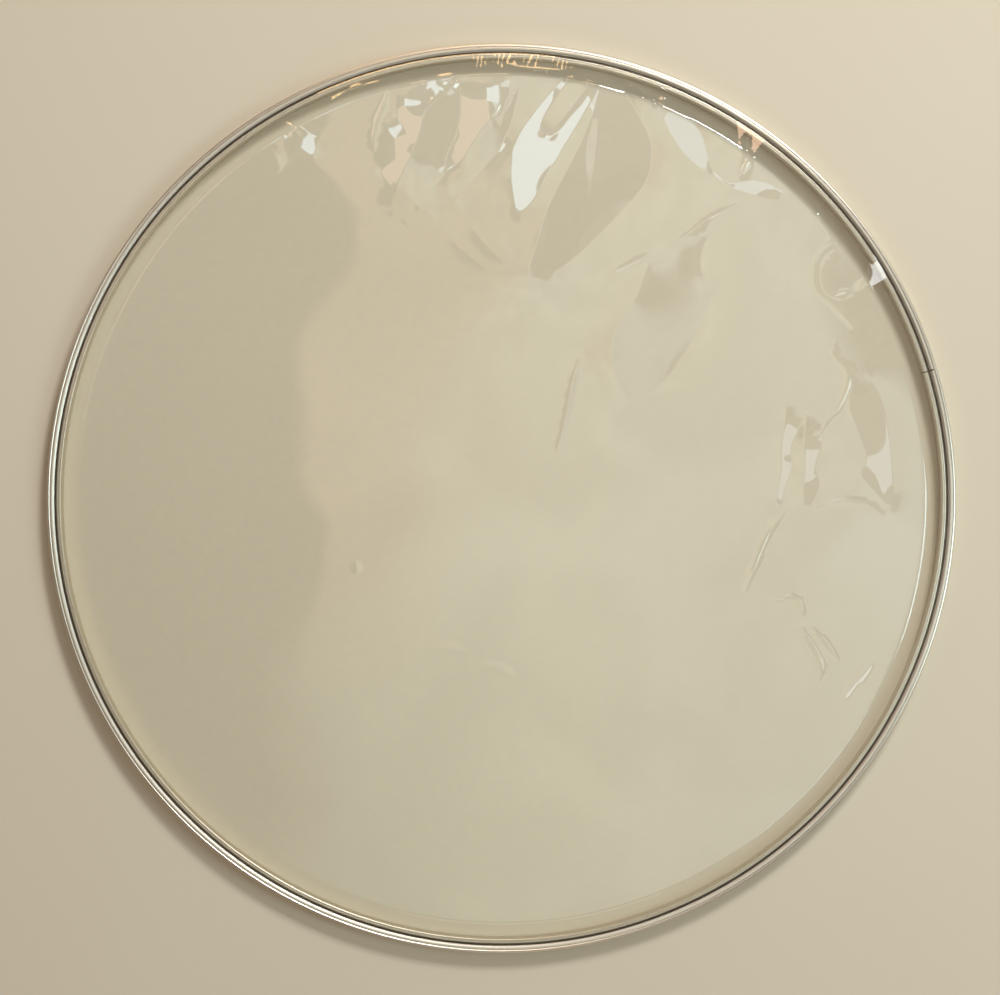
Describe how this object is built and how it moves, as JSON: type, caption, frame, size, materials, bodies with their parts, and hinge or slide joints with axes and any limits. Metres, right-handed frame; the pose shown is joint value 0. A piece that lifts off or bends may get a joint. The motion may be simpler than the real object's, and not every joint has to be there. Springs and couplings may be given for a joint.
{
  "type": "drum head",
  "caption": "Clear single-ply bass drum head: a thin polyester film held by resin in a channel-section aluminium flesh hoop, slack and creased on one side.",
  "frame": {"origin": "centre of the hoop's flat underside, which the head lies on", "axes": "+Z along the drum's axis to the playing side, +X to the picture's right, +Y to its top; the hoop's joint is 16.6 degrees from +X towards +Y"},
  "size_m": [0.5802, 0.5802, 0.0243],
  "materials": {
    "hoop_aluminium": "roll-formed, satin bright, with fine drawing lines along the hoop",
    "clear_film": "clear glossy polyester film, 0.25 mm",
    "cured_resin": "poured and cured, amber",
    "key_aluminium": "mill finish"
  },
  "bodies": {
    "root": {"hoop_channel": "hoop_aluminium", "film": "clear_film", "resin_fill": "cured_resin", "joint_key": "key_aluminium"}
  },
  "joints": []
}
